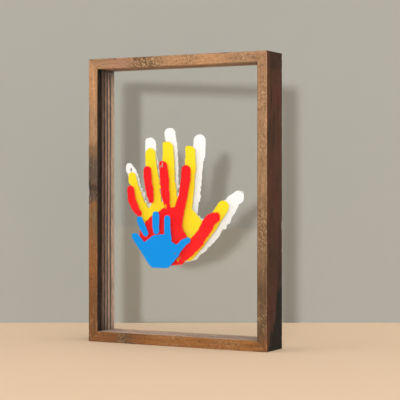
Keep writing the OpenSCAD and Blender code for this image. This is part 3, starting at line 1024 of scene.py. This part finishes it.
def row_tree():
    """Geometry tree that sets copies of its shape in a straight row."""
    tree = bpy.data.node_groups.new("Row of copies", "GeometryNodeTree")
    tree.interface.new_socket("Geometry", in_out="OUTPUT", socket_type="NodeSocketGeometry")
    given = (
        ("Shape", "Geometry"), ("Copies", "Int"), ("First Place", "Vector"), ("Step", "Vector"),
        ("Finish", "Material"),
    )
    for label, kind in given:
        tree.interface.new_socket(label, in_out="INPUT", socket_type="NodeSocket" + kind)
    wires = Wiring(tree)
    entry = wires.put("NodeGroupInput").outputs
    line = wires.put("GeometryNodeMeshLine", mode="OFFSET")
    wires.fill(line, Count=entry["Copies"], Start_Location=entry["First Place"], Offset=entry["Step"])
    copies = wires.put("GeometryNodeInstanceOnPoints")
    wires.fill(copies, Points=line.outputs["Mesh"], Instance=entry["Shape"])
    real = wires.fill(wires.put("GeometryNodeRealizeInstances"), Geometry=copies.outputs["Instances"])
    finish = wires.put("GeometryNodeSetMaterial")
    wires.fill(finish, Geometry=real.outputs["Geometry"], Material=entry["Finish"])
    wires.fill(wires.put("NodeGroupOutput"), Geometry=finish.outputs["Geometry"])
    return tree


ROW = row_tree()


def in_a_row(name, mesh, copies, first, step, finish):
    """Plain mesh object of copies of a mesh in a row."""
    base = add_object(name, mesh)
    modifier = base.modifiers.new("Row", "NODES")
    modifier.node_group = ROW
    sockets = {s.name: s.identifier for s in ROW.interface.items_tree if s.in_out == "INPUT"}
    modifier[sockets["Copies"]] = copies
    modifier[sockets["First Place"]] = first
    modifier[sockets["Step"]] = step
    modifier[sockets["Finish"]] = finish
    bpy.context.view_layer.update()
    evaluated = base.evaluated_get(bpy.context.evaluated_depsgraph_get())
    made = bpy.data.meshes.new_from_object(evaluated)
    bpy.data.objects.remove(base)
    return add_object(name, made)


def prism(outline, place, low, high, bevel, joined_to=None):
    """Outline drawn out from low to high as a closed shape with eased edges, added to another."""
    shape = bmesh.new()
    near = [shape.verts.new(place(a, b, low)) for a, b in outline]
    far = [shape.verts.new(place(a, b, high)) for a, b in outline]
    shape.faces.new(near)
    shape.faces.new(far[::-1])
    for k in range(len(outline)):
        other = (k + 1) % len(outline)
        shape.faces.new((near[k], far[k], far[other], near[other]))
    bmesh.ops.recalc_face_normals(shape, faces=shape.faces[:])
    sharp = [edge for edge in shape.edges if edge.calc_face_angle(0) > 0.3]
    bmesh.ops.bevel(shape, geom=sharp, offset=bevel, segments=2, affect="EDGES", profile=0.5)
    if joined_to is None:
        return shape
    part = to_mesh(shape, "part")
    joined_to.from_mesh(part)
    bpy.data.meshes.remove(part)
    return joined_to


# Sizes of the hanger that its box doesn't give, as in the part's source
HANGER_FOOT = 7 * MM
HANGER_T = 0.8 * MM
TOOTH_DEEP = 1.6 * MM
TOOTH_PITCH = 3 * MM
# Eased edges of the plate, of the teeth at its ends and of the other teeth
STEEL_EASE = 0.12 * MM
CORNER_EASE = 0.05 * MM
TOOTH_EASE = 0.08 * MM
# How far the teeth run up into the plate
TOOTH_LAP = 0.3 * MM


def seen_from_above(a, b, c):
    return (a, FRAME_D / 2 + b, c)


def seen_from_behind(a, b, c):
    return (a, c, b)


def make_hanger():
    """Bent steel plate with a row of teeth along its lower edge."""
    low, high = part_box("sawtooth_hanger")
    back = FRAME_D / 2
    rise = high.y - back - HANGER_T
    ramp = rise + HANGER_T
    flat = high.x - HANGER_FOOT
    teeth = int(2 * (flat - ramp) / TOOTH_PITCH + 1e-6)
    toothed = teeth * TOOTH_PITCH / 2
    root = low.z + TOOTH_DEEP
    bend = [
        (-high.x, 0), (-flat, 0), (ramp - flat, rise), (flat - ramp, rise), (flat, 0), (high.x, 0),
        (high.x, HANGER_T), (flat, HANGER_T), (flat - ramp, ramp), (ramp - flat, ramp),
        (-flat, HANGER_T), (-high.x, HANGER_T),
    ]
    plate = prism(bend, seen_from_above, root, high.z, STEEL_EASE)
    for side in (-1, 1):
        foot = [
            (side * a, b) for a, b in (
                (toothed, rise), (flat - ramp, rise), (flat, 0), (high.x, 0),
                (high.x, HANGER_T), (flat, HANGER_T), (flat - ramp, ramp), (toothed, ramp),
            )
        ]
        prism(foot, seen_from_above, low.z, root + 0.5 * MM, STEEL_EASE, plate)
        inner = side * (toothed - TOOTH_PITCH / 2)
        corner = [(side * toothed, low.z), (side * toothed, root), (inner, root)]
        prism(corner, seen_from_behind, back + rise, high.y, CORNER_EASE, plate)
    half = TOOTH_PITCH / 2
    tooth = [(-half, root + TOOTH_LAP), (-half, root), (0, low.z), (half, root), (half, root + TOOTH_LAP)]
    one = to_mesh(prism(tooth, seen_from_behind, back + rise, high.y, TOOTH_EASE), "tooth")
    first = (-(teeth - 2) / 2 * TOOTH_PITCH, 0.0, 0.0)
    row = in_a_row("teeth", one, teeth - 1, first, (TOOTH_PITCH, 0.0, 0.0), STEEL)
    plate.from_mesh(row.data)
    bpy.data.objects.remove(row)
    bpy.data.meshes.remove(one)
    piece = add_object("sawtooth_hanger_plate", to_mesh(plate, "sawtooth_hanger_plate"))
    dress(piece, "frame", "sawtooth_hanger", STEEL)


# The shank of a hanger nail as a share of its head, the length of its point and its head's straight rim
SHANK_SHARE = 0.39
NAIL_POINT = 1.2 * MM
HEAD_RIM = 0.12 * MM
# Steps of the dome of its head, and round the nail
DOME_STEPS = 6
NAIL_SIDES = 40


def make_hanger_nails():
    """Two small nails with low domed heads."""
    low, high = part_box("hanger_nails")
    head_r = (high.z - low.z) / 2
    shank_r = SHANK_SHARE * head_r
    under = FRAME_D / 2 + HANGER_T
    # Radius and place along the nail, from its point to the top of the head
    profile = [(0.0, low.y), (shank_r, low.y + NAIL_POINT), (shank_r, under), (0.96 * head_r, under),
               (head_r, under + HEAD_RIM)]
    for step in range(1, DOME_STEPS + 1):
        turn = math.pi / 2 * step / DOME_STEPS
        lift = (high.y - under - HEAD_RIM) * math.sin(turn)
        profile.append((head_r * math.cos(turn), under + HEAD_RIM + lift))
    shape = bmesh.new()
    middle = (low.z + high.z) / 2
    line = [shape.verts.new((radius, y, middle)) for radius, y in profile]
    edges = [shape.edges.new(pair) for pair in zip(line, line[1:])]
    bmesh.ops.spin(
        shape, geom=line + edges, cent=(0, 0, middle), axis=(0, 1, 0), angle=2 * math.pi, steps=NAIL_SIDES,
        use_merge=True, use_normal_flip=False, use_duplicate=False,
    )
    bmesh.ops.remove_doubles(shape, verts=shape.verts[:], dist=1e-6)
    bmesh.ops.recalc_face_normals(shape, faces=shape.faces[:])
    one = to_mesh(shape, "nail")
    one.shade_smooth()
    one.set_sharp_from_angle(angle=math.radians(50))
    first = (low.x + head_r, 0.0, 0.0)
    piece = in_a_row("hanger_nails_pair", one, 2, first, (high.x - low.x - 2 * head_r, 0.0, 0.0), STEEL)
    dress(piece, "frame", "hanger_nails", STEEL)


def finish_hidden_pieces():
    """Materials for the corner tongues and V-shaped nails, which keep the shapes of their nodes."""
    for corner in ("bottom_left", "top_left", "bottom_right", "top_right"):
        for kind, material in (("v_nail_", STEEL), ("corner_tongue_", BARE)):
            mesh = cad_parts[kind + corner].data
            mesh.materials.clear()
            mesh.materials.append(material)


# Stage, light and camera

def stage_plane(name, corners, material):
    mesh = bpy.data.meshes.new(name)
    mesh.from_pydata(corners, [], [(0, 1, 2, 3)])
    mesh.update()
    mesh.materials.append(material)
    plane = add_object(name, mesh)
    return plane


def stage_material(name, rgb, one_sided=False):
    """Plain matt paint. The back of a one-sided plane isn't seen."""
    material, wires, shader = new_material(name)
    cloud = wires.noise(wires.place(), 6, detail=2)
    colour = wires.blend(cloud, opaque(rgb), opaque([c * 0.985 for c in rgb]))
    wires.fill(shader, Base_Color=colour, Roughness=0.9, Specular_IOR_Level=0.1)
    if one_sided:
        behind = wires.put("ShaderNodeNewGeometry").outputs["Backfacing"]
        clear = wires.put("ShaderNodeBsdfTransparent")
        set_surface(material, wires, wires.either(behind, shader.outputs[0], clear.outputs[0]))
    return material


FLOOR_COLOUR = (242, 212, 180)
WALL_COLOUR = (161, 162, 156)
BACKGROUND = (182, 175, 164)
SKY_COLOUR = (1.0, 0.995, 0.985, 1.0)
SKY_LOW = 0.62
SKY_HIGH = 1.32
KEY_STRENGTH = 1.52
KEY_TO = Vector((0.342, -0.938, 0.061))
KEY_WIDTH = math.radians(3.2)
FLOOR_REACH = 4.0
WALL_REACH = 2.5
WALL_HIGH = 2.2


def make_stage():
    corners = [(x * FLOOR_REACH, y * FLOOR_REACH, 0) for x, y in ((-1, -1), (1, -1), (1, 1), (-1, 1))]
    stage_plane("floor", corners, stage_material("floor", FLOOR_COLOUR))
    ahead = Vector((-math.sin(CAMERA_TURN), math.cos(CAMERA_TURN), 0))
    across = Vector((math.cos(CAMERA_TURN), math.sin(CAMERA_TURN), 0))
    foot = Vector((CAMERA_PLACE.x, CAMERA_PLACE.y, 0)) + ahead * WALL_AWAY
    left = foot - across * WALL_REACH
    right = foot + across * WALL_REACH
    up = Vector((0, 0, WALL_HIGH))
    paint = stage_material("wall", WALL_COLOUR, one_sided=True)
    wall = stage_plane("wall", [left, right, right + up, left + up], paint)
    wall.visible_shadow = False


def make_light():
    world = bpy.data.worlds.new("studio")
    bpy.context.scene.world = world
    world.use_nodes = True
    wires = Wiring(world.node_tree)
    lit = world.node_tree.nodes["Background"]
    # Softer light from the sides than from above
    height = wires.put("ShaderNodeSeparateXYZ")
    wires.feed(height.inputs[0], wires.put("ShaderNodeTexCoord").outputs["Generated"])
    strength = wires.between(height.outputs["Z"], 0.1, 1.0, SKY_LOW, SKY_HIGH)
    wires.fill(lit, Color=SKY_COLOUR, Strength=strength)
    # What the camera sees directly, in a reflection or through a pane is a plain colour
    seen = wires.fill(wires.put("ShaderNodeBackground"), Color=opaque(BACKGROUND), Strength=1.0)
    path = wires.put("ShaderNodeLightPath").outputs
    share = wires.plus(path["Is Camera Ray"], path["Is Glossy Ray"])
    share = wires.maths("ADD", share, path["Is Transmission Ray"], clamp=True)
    surface = wires.either(share, lit.outputs[0], seen.outputs[0])
    wires.fill(world.node_tree.nodes["World Output"], Surface=surface)
    lamp = bpy.data.lights.new("key", "SUN")
    lamp.energy = KEY_STRENGTH
    lamp.angle = KEY_WIDTH
    key = add_object("key", lamp)
    key.rotation_euler = KEY_TO.to_track_quat("Z", "Y").to_euler()


def make_camera():
    lens = bpy.data.cameras.new("camera")
    lens.sensor_width = 36
    lens.lens = CAMERA_LENS
    lens.shift_y = CAMERA_SHIFT
    camera = add_object("camera", lens)
    camera.location = CAMERA_PLACE
    camera.rotation_euler = (math.pi / 2, 0, CAMERA_TURN)
    bpy.context.scene.camera = camera


make_camera()
make_light()
make_stage()
for number, rail_node in enumerate(("bottom_rail", "top_rail", "left_rail", "right_rail")):
    make_rail(rail_node, 10 * number + 3)
for pane_node, pane_body in zip(PANES, PANE_BODIES):
    make_pane(pane_node, pane_body)
for number, (print_node, pane_body) in enumerate(zip(PRINTS, PANE_BODIES)):
    make_print(print_node, pane_body, 60 + 10 * number)
make_hanger()
make_hanger_nails()
finish_hidden_pieces()

bpy.context.scene.view_settings.view_transform = "Standard"
